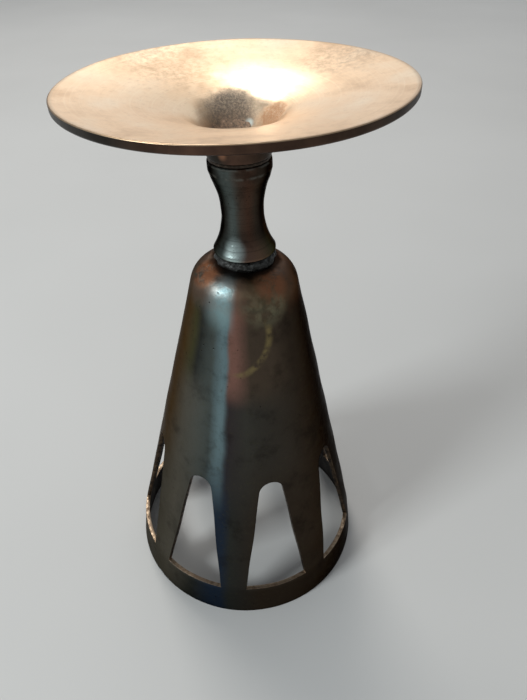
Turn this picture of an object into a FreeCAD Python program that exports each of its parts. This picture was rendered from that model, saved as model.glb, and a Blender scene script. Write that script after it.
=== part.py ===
import FreeCAD, Part
import math
import os
import Sketcher

# Brass incense burner: a spun dish on a turned stem, brazed to a bell-shaped base
# with a ring of windows. Millimetres, +Z up. The origin is where the bell's axis
# meets the table. The stem stands a little crooked on the bell, as brazed brassware
# does, so every piece above the bell is drawn on the stem's own axis, with z = 0 at
# the crown of the bell, and is placed with one lean.

SIZES = {
    # bell, outside sizes
    "foot_radius": 36.9,            # at the table
    "bell_height": 107.2,           # table to the crown
    "band_height": 10.5,            # plain band below the windows
    "band_set": 1.3,                # the band is narrower at its top by this much
    "crown_radius": 12.65,          # where cone and crown would meet in a sharp corner
    "shoulder_round": 7.5,
    "sheet": 1.3,                   # thickness of the spun sheet
    # windows
    "window_count": 8,
    "window_turn": 15.0,            # degrees from the front to the first window
    "window_width": 19.6,           # along the sill
    "window_arch": 3.65,            # radius of the round head
    "window_rise": 39.0,            # sill to the top of the head
    # stem, heights counted from the crown of the bell
    "stem_lean": 2.4,               # degrees towards -X
    "stem_offset": 0.3,             # towards +X
    "stem_height": 26.2,
    "stem_base_radius": 6.2,        # plain base that the braze runs round
    "foot_edge_height": 3.0,
    "foot_edge_radius": 7.8,
    "foot_edge_land": 0.7,          # upright part of the foot's edge
    "waist_height": 13.3,
    "waist_radius": 5.15,
    "flange_radius": 7.5,
    "flange_land": 2.4,             # upright part of the flange
    "flange_slope": 1.9,            # height of the flange's sloping underside
    "flange_step": 0.65,            # how far the slope stands out from the waist's curve
    # joints
    "lower_tenon_radius": 3.0,
    "lower_tenon_length": 4.0,      # from the crown down into the bell
    "lower_tenon_clearance": 0.35,
    "bead_radius": 7.3,             # braze bead, outside
    "bead_round": 0.9,
    "bead_gap": 0.4,                # groove left between the bead and the foot's edge
    "solder_height": 0.6,
    "solder_radius": 7.05,
    "upper_tenon_radius": 2.2,
    "upper_tenon_clearance": 0.1,
    "rivet_radius": 3.3,            # head peened over in the well
    "rivet_height": 0.9,
    "rivet_edge": 0.3,              # upright edge of the head
    "rivet_flat": 2.0,              # radius of the head's flat top
    # dish, outside sizes
    "dish_radius": 38.05,
    "brink_rise": 8.4,              # the well's brink above the bottom of the hub
    "dish_depth": "=brink_depth + brink_rise",  # rim to the bottom of the hub
    "lip_height": 2.0,
    "hub_radius": 7.5,
    "hub_height": 4.0,              # upright part of the hub
    "dish_wall": 1.6,
    "well_floor": 2.2,              # thickness of the well's floor
    "well_radius": 5.6,             # at the floor
    "rim_slope": 11.57,             # degrees, from the lip in to the funnel's corner
    "funnel_slope": 20.305,         # degrees, from there in to the brink
    "funnel_radius": 19.0,          # where the shallow slope steepens
    "funnel_depth": "=(dish_radius - funnel_radius) * tan(rim_slope)",  # below the rim
    "funnel_round": 80.0,
    "brink_radius": 9.0,            # where the steeper slope meets the well's wall
    "brink_depth": "=funnel_depth + (funnel_radius - brink_radius) * tan(funnel_slope)",
    "brink_round": 11.0,
    "well_round": 2.0,
    "under_funnel_round": 40.0,     # the same two corners on the underside
    "under_brink_round": 10.0,
    "flare_round": 5.0,             # underside, hub into dish
    "lip_round": 0.6,
}

document = FreeCAD.newDocument("incense_burner")
sheet = document.addObject("Spreadsheet::Sheet", "sizes")
for row, (alias, value) in enumerate(SIZES.items(), start=1):
    sheet.set("A%d" % row, alias)
    sheet.set("B%d" % row, str(value))
    sheet.setAlias("B%d" % row, alias)
document.recompute()


def size(name):
    """Expression that reads one cell of the sheet."""
    return "<<sizes>>." + name


def value_of(expression):
    """Present value of an expression on the sheet."""
    return float(sheet.evalExpression(expression))


def origin_feature(body, role):
    """The body's own origin plane or axis with this role."""
    return next(item for item in body.Origin.OriginFeatures if item.Role == role)


def new_body(name):
    """A body whose Label is the name of the piece."""
    body = document.addObject("PartDesign::Body", name)
    body.Label = name
    return body


def new_sketch(body, name, role="XZ_Plane"):
    """An empty sketch on one of the body's own origin planes."""
    sketch = body.newObject("Sketcher::SketchObject", name)
    sketch.AttachmentSupport = (origin_feature(body, role), [""])
    sketch.MapMode = "FlatFace"
    return sketch


def pin_point(sketch, geometry, corner, across, up):
    """Hold one corner of a sketch at two expressions, measured from the origin."""
    for direction, axis, expression in (("DistanceX", -2, across), ("DistanceY", -1, up)):
        place = value_of(expression)
        if abs(place) < 1e-9:
            sketch.addConstraint(Sketcher.Constraint("PointOnObject", geometry, corner, axis))
            continue
        ends = (-1, 1, geometry, corner) if place > 0 else (geometry, corner, -1, 1)
        index = sketch.addConstraint(Sketcher.Constraint(direction, *ends, abs(place)))
        bound = expression if place > 0 else "-(%s)" % expression
        sketch.setExpression("Constraints[%d]" % index, bound)


def end_at(sketch, geometry, point):
    """Which end of a sketch line or arc, 1 or 2, lies at the point."""
    gaps = [(sketch.getPoint(geometry, end) - point).Length for end in (1, 2)]
    return 1 + gaps.index(min(gaps))


def outline(sketch, corners, hollows=None):
    """Closed outline through corners, each an (across, up) pair of expressions.

    hollows maps a side to the corner where that side is upright: the side is then an
    arc that bends outwards from that corner, and every other side is straight.
    """
    hollows = hollows or {}
    points = [FreeCAD.Vector(value_of(across), value_of(up), 0) for across, up in corners]
    count = len(points)
    for side, start in enumerate(points):
        finish = points[(side + 1) % count]
        if side in hollows:
            upright = points[hollows[side]]
            other = finish if upright is start else start
            sketch.addGeometry(hollow_arc(start, upright, other, finish))
        else:
            sketch.addGeometry(Part.LineSegment(start, finish))
    for side, start in enumerate(points):
        before = (side - 1) % count
        here = end_at(sketch, side, start)
        there = end_at(sketch, before, start)
        sketch.addConstraint(Sketcher.Constraint("Coincident", before, there, side, here))
        pin_point(sketch, side, here, *corners[side])
    for side, corner in hollows.items():
        upright_end = end_at(sketch, side, points[corner])
        sketch.addConstraint(Sketcher.Constraint("Horizontal", side, 3, side, upright_end))


def hollow_arc(start, upright, other, finish):
    """Arc from start to finish whose tangent is upright at one of them."""
    run = other.x - upright.x
    rise = other.y - upright.y
    radius = (run * run + rise * rise) / (2 * run)
    centre = FreeCAD.Vector(upright.x + radius, upright.y, 0)
    chord_middle = (upright + other) * 0.5
    towards = (chord_middle - centre).normalize()
    return Part.Arc(start, centre + towards * radius, finish)


def revolve(body, name, corners, hollows=None):
    """Turn a closed outline once round the body's upright axis."""
    sketch = new_sketch(body, name + "_outline")
    outline(sketch, corners, hollows)
    turned = body.newObject("PartDesign::Revolution", name)
    turned.Profile = sketch
    turned.ReferenceAxis = (sketch, ["V_Axis"])
    turned.Angle = 360
    document.recompute()
    return turned


def ring_edges(feature, rings):
    """Names of the feature's round edges at the given (radius, height) expressions."""
    wanted = [(value_of(radius), value_of(height)) for radius, height in rings]
    names = []
    for number, edge in enumerate(feature.Shape.Edges, start=1):
        if not isinstance(edge.Curve, Part.Circle):
            continue
        here = (edge.Curve.Radius, edge.Curve.Center.z)
        if any(math.dist(here, ring) < 1e-4 for ring in wanted):
            names.append("Edge%d" % number)
    if len(names) < len(wanted):
        raise RuntimeError("%s: a ring to round was not found" % feature.Name)
    return names


def round_rings(body, name, rings, radius):
    """Fillet the body's present tip along round edges."""
    base = body.Tip
    edges = ring_edges(base, rings)
    fillet = body.newObject("PartDesign::Fillet", name)
    fillet.Base = (base, edges)
    fillet.setExpression("Radius", radius)
    document.recompute()
    return fillet


def cut(body, name, sketch, length, symmetric=False, reverse=False):
    """Pocket a sketch out of the body, and check that it took material away."""
    before = body.Tip.Shape.Volume
    pocket = body.newObject("PartDesign::Pocket", name)
    pocket.Profile = sketch
    pocket.Type = "Length"
    pocket.SideType = "Symmetric" if symmetric else "One side"
    pocket.Reversed = reverse
    pocket.setExpression("Length", length)
    document.recompute()
    if pocket.Shape.Volume >= before:
        raise RuntimeError("%s cuts nothing" % name)
    return pocket


def circle_sketch(body, name, across, radius, height="0"):
    """A circle across the upright axis, at a height on that axis."""
    sketch = new_sketch(body, name, "XY_Plane")
    sketch.setExpression("AttachmentOffset.Base.z", height)
    centre = FreeCAD.Vector(value_of(across), 0, 0)
    up = FreeCAD.Vector(0, 0, 1)
    sketch.addGeometry(Part.Circle(centre, up, value_of(radius)))
    sketch.addConstraint(Sketcher.Constraint("PointOnObject", 0, 3, -1))
    if abs(value_of(across)) < 1e-9:
        sketch.addConstraint(Sketcher.Constraint("PointOnObject", 0, 3, -2))
    else:
        place = Sketcher.Constraint("DistanceX", -1, 1, 0, 3, value_of(across))
        sketch.setExpression("Constraints[%d]" % sketch.addConstraint(place), across)
    reach = Sketcher.Constraint("Radius", 0, value_of(radius))
    sketch.setExpression("Constraints[%d]" % sketch.addConstraint(reach), radius)
    return sketch


# Derived places, each written once from the sizes above.

WELL_PAST = "2 * "      # a cutting sketch or pocket runs this far past what it cuts
CROWN_TILT = "tan(%s)" % size("stem_lean")
RIM_LEAN = "(%s + %s + %s) * sin(%s) - %s" % tuple(
    size(name) for name in ("stem_height", "solder_height", "dish_depth", "stem_lean", "stem_offset"))
DISH_REACH = "%s * cos(%s)" % (size("dish_radius"), size("stem_lean"))
# The origin is the middle of the footprint, so the bell stands this far towards +X.
BELL_SHIFT = "(max(%s; %s + %s) - max(%s; %s - (%s))) / 2" % (
    size("foot_radius"), DISH_REACH, RIM_LEAN, size("foot_radius"), DISH_REACH, RIM_LEAN)

HUB_BASE = "(%s + %s)" % (size("stem_height"), size("solder_height"))
RIM = "(%s + %s)" % (HUB_BASE, size("dish_depth"))
WELL_FLOOR = "(%s + %s)" % (HUB_BASE, size("well_floor"))
FLANGE_LOW = "(%s - %s)" % (size("stem_height"), size("flange_land"))
SLOPE_LOW = "(%s - %s)" % (FLANGE_LOW, size("flange_slope"))


def stand_on_crown(body):
    """Place a piece that is drawn on the stem's axis: leaning, on the bell's crown."""
    body.Placement = FreeCAD.Placement(
        FreeCAD.Vector(0, 0, value_of(size("bell_height"))),
        FreeCAD.Rotation(FreeCAD.Vector(0, -1, 0), value_of(size("stem_lean"))))
    body.setExpression("Placement.Base.x", "%s + %s" % (BELL_SHIFT, size("stem_offset")))
    body.setExpression("Placement.Base.z", size("bell_height"))
    body.setExpression("Placement.Rotation.Angle", size("stem_lean"))


def trim_to_crown(body, name):
    """Cut the foot of a leaning piece level with the bell's crown."""
    reach = "(%s)" % (WELL_PAST + size("foot_edge_radius"))
    rise = "%s * %s" % (reach, CROWN_TILT)
    sketch = new_sketch(body, name + "_outline")
    outline(sketch, [("-" + reach, rise), ("-" + reach, "-" + reach),
                     (reach, "-" + reach), (reach, "-%s" % rise)])
    cut(body, name, sketch, WELL_PAST + reach, symmetric=True)


def make_bell():
    """Spun bell: straight cone, domed shoulder, plain band, one even sheet."""
    body = new_body("bell_base")
    crown_edge = (size("crown_radius"), size("bell_height"))
    band_top = "%s - %s" % (size("foot_radius"), size("band_set"))
    form = revolve(body, "bell_form", [
        ("0", "0"), (size("foot_radius"), "0"), (band_top, size("band_height")),
        crown_edge, ("0", size("bell_height"))])
    body.Tip = form
    form = round_rings(body, "shoulder", [crown_edge], size("shoulder_round"))
    bottom = next("Face%d" % number for number, face in enumerate(form.Shape.Faces, start=1)
                  if abs(face.BoundBox.ZMax) < 1e-6)
    shell = body.newObject("PartDesign::Thickness", "spun_sheet")
    shell.Base = (form, [bottom])
    shell.Reversed = True
    shell.Join = "Intersection"
    shell.setExpression("Value", size("sheet"))
    document.recompute()

    cut_windows(body)
    hole_radius = "%s + %s" % (size("lower_tenon_radius"), size("lower_tenon_clearance"))
    hole = circle_sketch(body, "tenon_hole_outline", size("stem_offset"), hole_radius)
    cut(body, "tenon_hole", hole, WELL_PAST + size("bell_height"), reverse=True)
    body.setExpression("Placement.Base.x", BELL_SHIFT)
    return body


def cut_windows(body):
    """Round-headed windows with straight flared sides and a level sill, in a ring."""
    half = "%s / 2" % size("window_width")
    arch_height = "%s + %s - %s" % tuple(
        size(name) for name in ("band_height", "window_rise", "window_arch"))
    sketch = new_sketch(body, "window_outline")
    sketch.AttachmentOffset = FreeCAD.Placement(
        FreeCAD.Vector(), FreeCAD.Rotation(FreeCAD.Vector(0, 1, 0), value_of(size("window_turn"))))
    sketch.setExpression("AttachmentOffset.Rotation.Angle", size("window_turn"))

    centre = FreeCAD.Vector(0, value_of(arch_height), 0)
    right_sill = FreeCAD.Vector(value_of(half), value_of(size("band_height")), 0)
    radius = value_of(size("window_arch"))
    down = right_sill - centre
    angle = math.atan2(down.y, down.x) + math.acos(radius / down.Length)
    touch = centre + FreeCAD.Vector(math.cos(angle), math.sin(angle), 0) * radius
    top = centre + FreeCAD.Vector(0, radius, 0)
    left_sill = FreeCAD.Vector(-right_sill.x, right_sill.y, 0)
    left_touch = FreeCAD.Vector(-touch.x, touch.y, 0)

    sketch.addGeometry(Part.LineSegment(left_sill, right_sill))
    sketch.addGeometry(Part.LineSegment(right_sill, touch))
    sketch.addGeometry(Part.Arc(touch, top, left_touch))
    sketch.addGeometry(Part.LineSegment(left_touch, left_sill))
    sketch.addConstraint(Sketcher.Constraint("Coincident", 0, 2, 1, 1))
    sketch.addConstraint(Sketcher.Constraint("Coincident", 3, 2, 0, 1))
    pin_point(sketch, 0, 1, "-" + half, size("band_height"))
    pin_point(sketch, 0, 2, half, size("band_height"))
    sketch.addConstraint(Sketcher.Constraint(
        "Tangent", 1, 2, 2, end_at(sketch, 2, touch)))
    sketch.addConstraint(Sketcher.Constraint(
        "Tangent", 3, 1, 2, end_at(sketch, 2, left_touch)))
    pin_point(sketch, 2, 3, "0", arch_height)
    reach = Sketcher.Constraint("Radius", 2, radius)
    sketch.setExpression("Constraints[%d]" % sketch.addConstraint(reach), size("window_arch"))
    document.recompute()

    window = cut(body, "window", sketch, WELL_PAST + size("foot_radius"))
    ring = body.newObject("PartDesign::PolarPattern", "window_ring")
    ring.Originals = [window]
    ring.Axis = (origin_feature(body, "Z_Axis"), [""])
    ring.Angle = 360
    ring.setExpression("Occurrences", size("window_count"))
    body.Tip = ring
    document.recompute()


def make_stem():
    """Turned baluster: flared foot, hollow waist, flange, and a tenon at each end."""
    body = new_body("stem")
    base, edge, waist = size("stem_base_radius"), size("foot_edge_radius"), size("waist_radius")
    edge_low = size("foot_edge_height")
    edge_top = "%s + %s" % (edge_low, size("foot_edge_land"))
    slope_radius = "%s + (%s - %s) / 2 + %s" % (
        waist, size("flange_radius"), waist, size("flange_step"))
    tenon = size("upper_tenon_radius")
    head_low = "%s + %s" % (WELL_FLOOR, size("rivet_edge"))
    head_top = "%s + %s" % (WELL_FLOOR, size("rivet_height"))
    form = revolve(body, "turned_form", [
        ("0", "-" + edge_low),
        (base, "-" + edge_low),
        (base, edge_low),
        (edge, edge_low),
        (edge, edge_top),
        (waist, size("waist_height")),
        (slope_radius, SLOPE_LOW),
        (size("flange_radius"), FLANGE_LOW),
        (size("flange_radius"), size("stem_height")),
        (tenon, size("stem_height")),
        (tenon, WELL_FLOOR),
        (size("rivet_radius"), WELL_FLOOR),
        (size("rivet_radius"), head_low),
        (size("rivet_flat"), head_top),
        ("0", head_top),
    ], hollows={4: 5, 5: 5})
    body.Tip = form
    trim_to_crown(body, "foot_trim")
    sketch = circle_sketch(
        body, "lower_tenon_outline", "0", size("lower_tenon_radius"), size("foot_edge_height"))
    peg = body.newObject("PartDesign::Pad", "lower_tenon")
    peg.Profile = sketch
    peg.Type = "Length"
    peg.Reversed = True
    peg.setExpression("Length", "%s + %s" % (size("foot_edge_height"), size("lower_tenon_length")))
    document.recompute()
    stand_on_crown(body)
    return body


def make_foot_bead():
    """Bead of braze round the stem's plain base, level on the crown below."""
    body = new_body("foot_braze_bead")
    bead_top = "(%s - %s)" % (size("foot_edge_height"), size("bead_gap"))
    depth = "-" + size("foot_edge_height")
    form = revolve(body, "bead_form", [
        (size("stem_base_radius"), depth), (size("bead_radius"), depth),
        (size("bead_radius"), bead_top), (size("stem_base_radius"), bead_top)])
    body.Tip = form
    round_rings(body, "bead_rounding", [(size("bead_radius"), bead_top)], size("bead_round"))
    trim_to_crown(body, "bead_trim")
    stand_on_crown(body)
    return body


def make_solder_ring():
    """Thin ring of solder between the flange and the hub."""
    body = new_body("neck_solder_ring")
    revolve(body, "solder_form", [
        (size("upper_tenon_radius"), size("stem_height")),
        (size("solder_radius"), size("stem_height")),
        (size("solder_radius"), HUB_BASE),
        (size("upper_tenon_radius"), HUB_BASE)])
    stand_on_crown(body)
    return body


def make_dish():
    """Spun dish: funnel slope, round well, and the hub that is the well's outside."""
    body = new_body("dish")
    hole = "%s + %s" % (size("upper_tenon_radius"), size("upper_tenon_clearance"))
    hub_top = "(%s + %s)" % (HUB_BASE, size("hub_height"))
    funnel = (size("funnel_radius"), "%s - %s" % (RIM, size("funnel_depth")))
    under_funnel = (funnel[0], "%s - %s" % (funnel[1], size("dish_wall")))
    lip_low = (size("dish_radius"), "%s - %s" % (RIM, size("lip_height")))
    lip_top = (size("dish_radius"), RIM)
    hub_corner = (size("hub_radius"), hub_top)
    brink = (size("brink_radius"), "%s - %s" % (RIM, size("brink_depth")))
    under_brink = tuple("%s %s %s" % (place, sign, size("dish_wall"))
                        for place, sign in zip(brink, "+-"))
    well = (size("well_radius"), WELL_FLOOR)
    form = revolve(body, "dish_form", [
        (hole, HUB_BASE), (size("hub_radius"), HUB_BASE), hub_corner, under_brink,
        under_funnel, lip_low, lip_top, funnel, brink, well, (hole, WELL_FLOOR)])
    body.Tip = form
    round_rings(body, "funnel", [funnel], size("funnel_round"))
    round_rings(body, "brink", [brink], size("brink_round"))
    round_rings(body, "under_funnel", [under_funnel], size("under_funnel_round"))
    round_rings(body, "under_brink", [under_brink], size("under_brink_round"))
    round_rings(body, "hub_flare", [hub_corner], size("flare_round"))
    round_rings(body, "well_corner", [well], size("well_round"))
    round_rings(body, "lip", [lip_low, lip_top], size("lip_round"))
    stand_on_crown(body)
    return body


def check_and_export(bodies):
    """Stop on any failed object or poor shape, then write one STEP file a piece."""
    document.recompute()
    for item in document.Objects:
        if "Invalid" in item.State or "Error" in item.State:
            raise RuntimeError("%s failed: %s" % (item.Name, item.State))
    for body in bodies:
        shape = body.Shape
        if shape.isNull() or not shape.isValid() or len(shape.Solids) != 1:
            raise RuntimeError("%s has no single sound solid" % body.Label)
    os.makedirs("parts", exist_ok=True)
    for body in bodies:
        box = body.Shape.BoundBox
        body.Shape.exportStep("parts/%s.step" % body.Label)
        print("%-18s %9.1f mm3   x %7.2f..%6.2f   y %7.2f..%6.2f   z %7.2f..%6.2f" % (
            body.Label, body.Shape.Volume, box.XMin, box.XMax, box.YMin, box.YMax,
            box.ZMin, box.ZMax))


check_and_export([make_bell(), make_foot_bead(), make_stem(), make_solder_ring(), make_dish()])
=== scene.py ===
# %% [markdown]
# # A brass incense burner
#
# A spun dish stands on a turned stem, and the stem is brazed to a bell with a ring of
# arched windows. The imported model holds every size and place, so the lesson starts by
# loading it as a fixed frame. Each later step makes one piece as a surface of
# revolution worked out with numpy, and then gives it the finish that heat, handling and
# smoke have left on it.

# %% Load the frame
import bpy
import bmesh
import math
import numpy as np
from mathutils import Matrix, Vector


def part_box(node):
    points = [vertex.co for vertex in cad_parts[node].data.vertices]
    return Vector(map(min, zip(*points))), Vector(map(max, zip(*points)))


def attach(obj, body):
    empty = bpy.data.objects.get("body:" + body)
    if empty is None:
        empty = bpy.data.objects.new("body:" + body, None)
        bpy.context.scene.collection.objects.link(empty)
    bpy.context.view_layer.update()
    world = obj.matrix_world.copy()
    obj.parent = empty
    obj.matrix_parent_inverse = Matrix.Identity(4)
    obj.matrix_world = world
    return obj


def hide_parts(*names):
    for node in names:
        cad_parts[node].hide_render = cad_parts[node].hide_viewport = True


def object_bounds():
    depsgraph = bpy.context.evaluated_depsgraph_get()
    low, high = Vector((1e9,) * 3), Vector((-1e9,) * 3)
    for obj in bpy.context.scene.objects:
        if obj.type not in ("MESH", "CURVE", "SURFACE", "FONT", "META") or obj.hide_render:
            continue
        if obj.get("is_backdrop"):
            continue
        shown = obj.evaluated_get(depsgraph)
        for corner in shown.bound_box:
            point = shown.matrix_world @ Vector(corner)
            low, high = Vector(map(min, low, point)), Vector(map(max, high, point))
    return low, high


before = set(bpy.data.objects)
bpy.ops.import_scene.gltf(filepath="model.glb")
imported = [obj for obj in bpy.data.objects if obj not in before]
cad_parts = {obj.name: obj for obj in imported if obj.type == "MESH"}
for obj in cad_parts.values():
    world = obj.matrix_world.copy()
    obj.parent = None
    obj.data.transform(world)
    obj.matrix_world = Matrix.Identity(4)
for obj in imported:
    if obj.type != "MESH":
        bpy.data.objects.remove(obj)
cad_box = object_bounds()
print("pieces:", ", ".join(sorted(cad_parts)))

# %% [markdown]
# ## Places
#
# All shapes below are in millimetres, and one factor turns them into metres when a mesh
# is made. The bell's axis is upright. The dish and stem lean together a little towards
# -X, as brazed brassware often does, so they are drawn on the stem's own axis, with
# height 0 at the bell's crown, and are tilted into place.

# %% Places taken from the frame
MM = 0.001
bell_low, bell_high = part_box("bell_base")
dish_low, dish_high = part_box("dish")
BELL_X = (bell_low.x + bell_high.x) / 2 / MM
FOOT_RADIUS = (bell_high.y - bell_low.y) / 2 / MM
CROWN = bell_high.z / MM
DISH_RADIUS = (dish_high.y - dish_low.y) / 2 / MM
STEM_OFFSET = 0.3               # the stem stands this far off the bell's axis
STEM_X = BELL_X + STEM_OFFSET
LEAN = math.radians(2.4)
print("bell radius %.2f, crown %.2f, dish radius %.2f" % (FOOT_RADIUS, CROWN, DISH_RADIUS))

# %% [markdown]
# ## Profiles
#
# Spun and turned work is drawn as half an outline, as a turner draws it: corners joined
# by straight lines, some of them rounded. Blender could round such corners with a Bevel
# modifier on a coarse mesh, but working the arcs out keeps their radii exact, and it
# leaves the points where the shading needs them.

# %% Rounded profiles


def unit(vector):
    """The vector at length 1."""
    return vector / np.linalg.norm(vector)


def rounded(corners, arc_steps=10):
    """Open profile through corners, each (radius, height, rounding).

    A rounded corner becomes an arc tangent to both of its sides. It leaves the corner by
    rounding / tan(half the inside angle), its centre lies rounding / sin(half the inside
    angle) along the corner's bisector, and its points stand at equal angles.
    """
    places = np.array([corner[:2] for corner in corners], float)
    runs = []
    for here, (_, _, radius) in enumerate(corners):
        if not radius:
            runs.append(places[here:here + 1])
            continue
        before = unit(places[here - 1] - places[here])
        after = unit(places[here + 1] - places[here])
        half = math.acos(float(before @ after)) / 2
        centre = places[here] + unit(before + after) * radius / math.sin(half)
        start, finish = (places[here] + side * radius / math.tan(half) - centre
                         for side in (before, after))
        first = math.atan2(start[1], start[0])
        turn = (math.atan2(finish[1], finish[0]) - first + math.pi) % math.tau - math.pi
        angles = first + turn * np.linspace(0, 1, arc_steps)
        runs.append(centre + radius * np.stack([np.cos(angles), np.sin(angles)], axis=1))
    return np.concatenate(runs)


def divided(points, step):
    """The same profile with its long straight runs cut into equal steps."""
    starts, sides = points[:-1], np.diff(points, axis=0)
    counts = np.maximum(1, np.ceil(np.linalg.norm(sides, axis=1) / step)).astype(int)
    side = np.repeat(np.arange(len(starts)), counts)
    share = (np.arange(counts.sum()) - (np.cumsum(counts) - counts)[side]) / counts[side]
    return np.vstack([starts[side] + sides[side] * share[:, None], points[-1:]])


# %% [markdown]
# ## From profile to mesh
#
# A surface of revolution is a grid: one parameter runs along the profile, the other
# round the axis. Blender's Screw modifier could turn the profile, but a grid of our own
# can be uneven: real spun metal is never quite round, and a few low waves in its radius
# are what make its reflections wander. A closed profile wraps in both directions. Where
# a profile touches the axis, its ring of equal points is merged into one pole.

# %% Grids and meshes


def waves(angle, along, seed, count=7):
    """Smooth unevenness, mostly within -1 to 1.

    The sum of count products of two sines, one that goes a whole number of times round
    the axis and one that runs along the piece, divided by the root of count.
    """
    chance = np.random.default_rng(seed)
    total = 0
    for _ in range(count):
        lobes = chance.integers(1, 7)
        pitch = chance.uniform(0.01, 0.07)
        phase = chance.uniform(0, math.tau, 2)
        total = total + np.sin(lobes * angle + phase[0]) * np.sin(
            math.tau * pitch * along + phase[1])
    return total / math.sqrt(count)


def grid_faces(rows, columns, wrap_rows=False, wrap_columns=True, first=0):
    """Corner numbers of a grid's quads, facing outwards where rows run up the outside."""
    row = np.arange(rows if wrap_rows else rows - 1)[:, None]
    column = np.arange(columns if wrap_columns else columns - 1)[None, :]
    above, beside = (row + 1) % rows, (column + 1) % columns
    corners = [row * columns + column, row * columns + beside,
               above * columns + beside, above * columns + column]
    return first + np.stack(corners, axis=-1).reshape(-1, 4)


def revolved(profile, columns):
    """Angle, radius and height arrays, one row for each profile point."""
    angle = np.linspace(0, math.tau, columns, endpoint=False)[None, :]
    angle = np.repeat(angle, len(profile), axis=0)
    radius = np.repeat(profile[:, :1], columns, axis=1)
    height = np.repeat(profile[:, 1:2], columns, axis=1)
    return angle, radius, height


def points_of(angle, radius, height):
    """Cylinder coordinates as an array of points. Angle 0 is the front, -Y, and it grows
    towards +X."""
    return np.stack([radius * np.sin(angle), -radius * np.cos(angle), height], axis=-1)


def on_bell(points):
    """Points drawn on the bell's axis, put in the frame."""
    return points + np.array([BELL_X, 0, 0])


def on_stem(points):
    """Points drawn on the stem's axis, leaned towards -X and stood on the crown."""
    turn = np.array(Matrix.Rotation(-LEAN, 3, "Y"))
    return points @ turn.T + np.array([STEM_X, 0, CROWN])


def make_piece(name, points, faces, slot, sharp=35, marks=None):
    """A smooth shaded mesh object in metres, riding the frame's one body.

    marks is a dictionary of a name and one number per point, kept as attributes.
    Equal points are merged, which closes poles and joins grids at their borders.
    """
    mesh = bpy.data.meshes.new(name)
    mesh.from_pydata((points.reshape(-1, 3) * MM).tolist(), [], faces.tolist())
    for mark, values in (marks or {}).items():
        layer = mesh.attributes.new(mark, "FLOAT", "POINT")
        layer.data.foreach_set("value", np.ascontiguousarray(values, np.float32).ravel())
    shape = bmesh.new()
    shape.from_mesh(mesh)
    bmesh.ops.remove_doubles(shape, verts=shape.verts, dist=0.002 * MM)
    bmesh.ops.dissolve_degenerate(shape, edges=shape.edges, dist=0.001 * MM)
    shape.to_mesh(mesh)
    shape.free()
    mesh.shade_smooth()
    mesh.set_sharp_from_angle(angle=math.radians(sharp))
    piece = bpy.data.objects.new(name, mesh)
    bpy.context.scene.collection.objects.link(piece)
    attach(piece, "root")
    print("%s: %d points, %d faces" % (name, len(mesh.vertices), len(mesh.polygons)))
    return piece


# %% [markdown]
# ## The bell's wall
#
# The bell is spun from sheet brass: a band at the foot, a straight cone, a rounded
# shoulder and a flat crown with a hole for the stem's tenon. Eight arched windows are
# cut through the wall. A Boolean modifier would cut them, but it leaves long thin
# triangles that catch the light badly. Here the grid follows the windows instead. Each
# rib between two windows is a grid of its own, whose side columns lie on the window
# edges: at a height where a window is 2w wide and the bell's radius is r, its edge stands
# asin(w / r) from the window's middle. Above the arches the ribs meet and merge.

# %% Sizes and edges of the windows
FOOT_LAND = 0.5                 # the lowest part of the band is upright
FOOT_WEAR = 0.03                # the foot is worn this much short of the floor
BAND_HEIGHT = 10.5
BAND_TAPER = 1.3                # the band draws in this much over its height
BAND_TOP_RADIUS = FOOT_RADIUS - BAND_TAPER
SHEET = 1.3
SHOULDER_CORNER = 12.65
SHOULDER_ROUND = 7.5
TENON_HOLE = 3.35
WINDOWS = 8
FIRST_WINDOW = math.radians(15)
SILL_HALF = 9.8
ARCH_RADIUS = 3.65
WINDOW_HEIGHT = 39.0
ARCH_CENTRE = BAND_HEIGHT + WINDOW_HEIGHT - ARCH_RADIUS
ARCH_TOP = ARCH_CENTRE + ARCH_RADIUS

sill_run = math.hypot(SILL_HALF, ARCH_CENTRE - BAND_HEIGHT)
touch_angle = (math.acos(ARCH_RADIUS / sill_run)
               - math.atan2(ARCH_CENTRE - BAND_HEIGHT, SILL_HALF))
TOUCH_HALF = ARCH_RADIUS * math.cos(touch_angle)
TOUCH_HEIGHT = ARCH_CENTRE + ARCH_RADIUS * math.sin(touch_angle)


def window_half(height):
    """Half the window's width: straight sides up to the arch, then the arch, then 0."""
    side = np.interp(height, [BAND_HEIGHT, TOUCH_HEIGHT], [SILL_HALF, TOUCH_HALF])
    arch = np.sqrt(np.clip(ARCH_RADIUS ** 2 - (height - ARCH_CENTRE) ** 2, 0, None))
    return np.where(height <= TOUCH_HEIGHT, side, np.where(height < ARCH_TOP, arch, 0))


print("arch meets the sides %.2f mm up, %.2f mm out" % (TOUCH_HEIGHT, TOUCH_HALF))

# %% The bell's rows


def bell_rows():
    """(radius, height) of each row of the bell's grid, from the foot to the tenon hole."""
    wall = rounded([(FOOT_RADIUS, FOOT_WEAR, 0), (FOOT_RADIUS, FOOT_LAND, 0),
                    (BAND_TOP_RADIUS, BAND_HEIGHT, 0),
                    (SHOULDER_CORNER, CROWN, SHOULDER_ROUND), (TENON_HOLE, CROWN, 0)], 18)
    shoulder_start = wall[3, 1]
    arch = np.linspace(touch_angle, math.pi / 2, 14)
    heights = np.concatenate([
        [FOOT_WEAR], np.linspace(FOOT_LAND, BAND_HEIGHT, 9)[:-1],
        np.linspace(BAND_HEIGHT, TOUCH_HEIGHT, 26)[:-1],
        ARCH_CENTRE + ARCH_RADIUS * np.sin(arch),
        np.linspace(ARCH_TOP, shoulder_start, 34)[1:-1]])
    radii = np.interp(heights, wall[:4, 1], wall[:4, 0])
    top = divided(wall[3:], 0.8)
    return np.vstack([np.stack([radii, heights], axis=1), top])


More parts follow.
